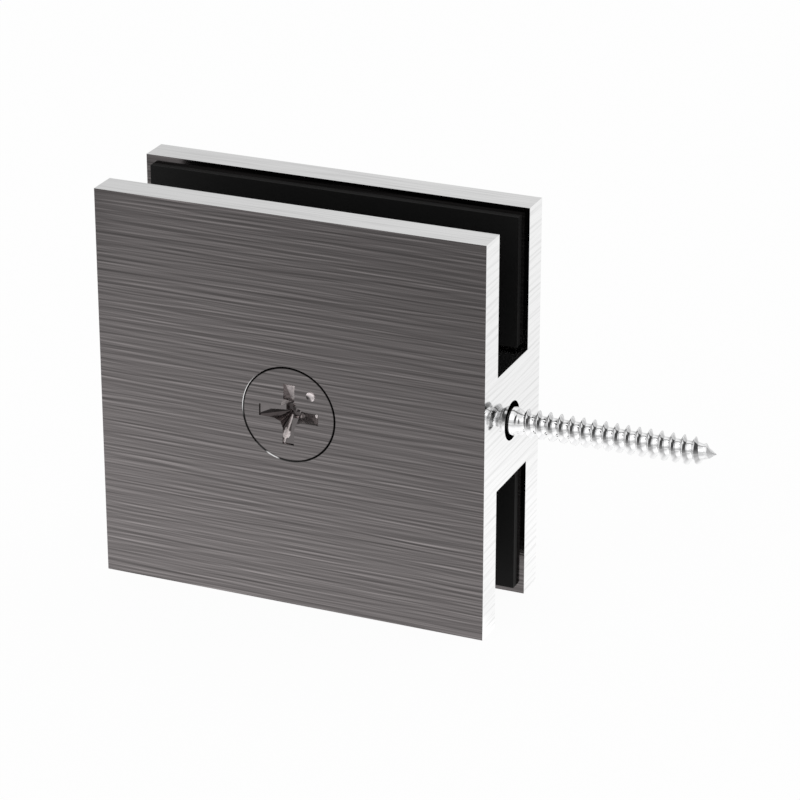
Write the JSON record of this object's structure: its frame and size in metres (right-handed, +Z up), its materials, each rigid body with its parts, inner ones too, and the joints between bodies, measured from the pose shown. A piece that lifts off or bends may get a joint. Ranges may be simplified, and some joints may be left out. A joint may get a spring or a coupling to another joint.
{
  "type": "square glass panel clamp",
  "caption": "Square two-plate clamp with rubber gaskets, a flush cross-recessed clamp screw and a wood screw that holds its block to the wall.",
  "frame": {"origin": "centre of the wall face, on the wall screw's axis, where the screw leaves the block", "axes": "+X out of the wall face into the wall, +Z up the plates, the front plate on the -Y side"},
  "size_m": [0.0754, 0.0176, 0.05],
  "materials": {
    "brushed_metal": "fine straight brush lines",
    "gasket_rubber": "smooth matt sheet",
    "sleeve_nylon": "natural, turned",
    "clamp_screw_steel": "brushed head, smooth recess",
    "plated_steel": "bright zinc"
  },
  "bodies": {
    "clamp_base": {"back_plate": "brushed_metal", "back_gasket": "gasket_rubber", "screw_sleeve": "sleeve_nylon"},
    "front_cover": {"front_plate": "brushed_metal", "front_gasket": "gasket_rubber"},
    "clamp_screw": {"clamp_screw": "clamp_screw_steel"},
    "wall_screw": {"wall_screw": "plated_steel"}
  },
  "joints": [
    {"name": "cover_lift", "type": "slide", "parent": "clamp_base", "child": "front_cover", "axis": [0, -1, 0], "range_m": [0, 0.002]},
    {"name": "clamp_screw_turn", "type": "hinge", "parent": "front_cover", "child": "clamp_screw", "pos_m": [-0.025, 0, 0], "axis": [0, -1, 0], "range_deg": [0, 720]},
    {"name": "wall_screw_turn", "type": "hinge", "parent": "clamp_base", "child": "wall_screw", "pos_m": [0, 0, 0], "axis": [1, 0, 0], "continuous": true}
  ],
  "couplings": [
    {"joint": "clamp_screw_turn", "follows": "cover_lift", "rad_per_m": 6283.2}
  ]
}
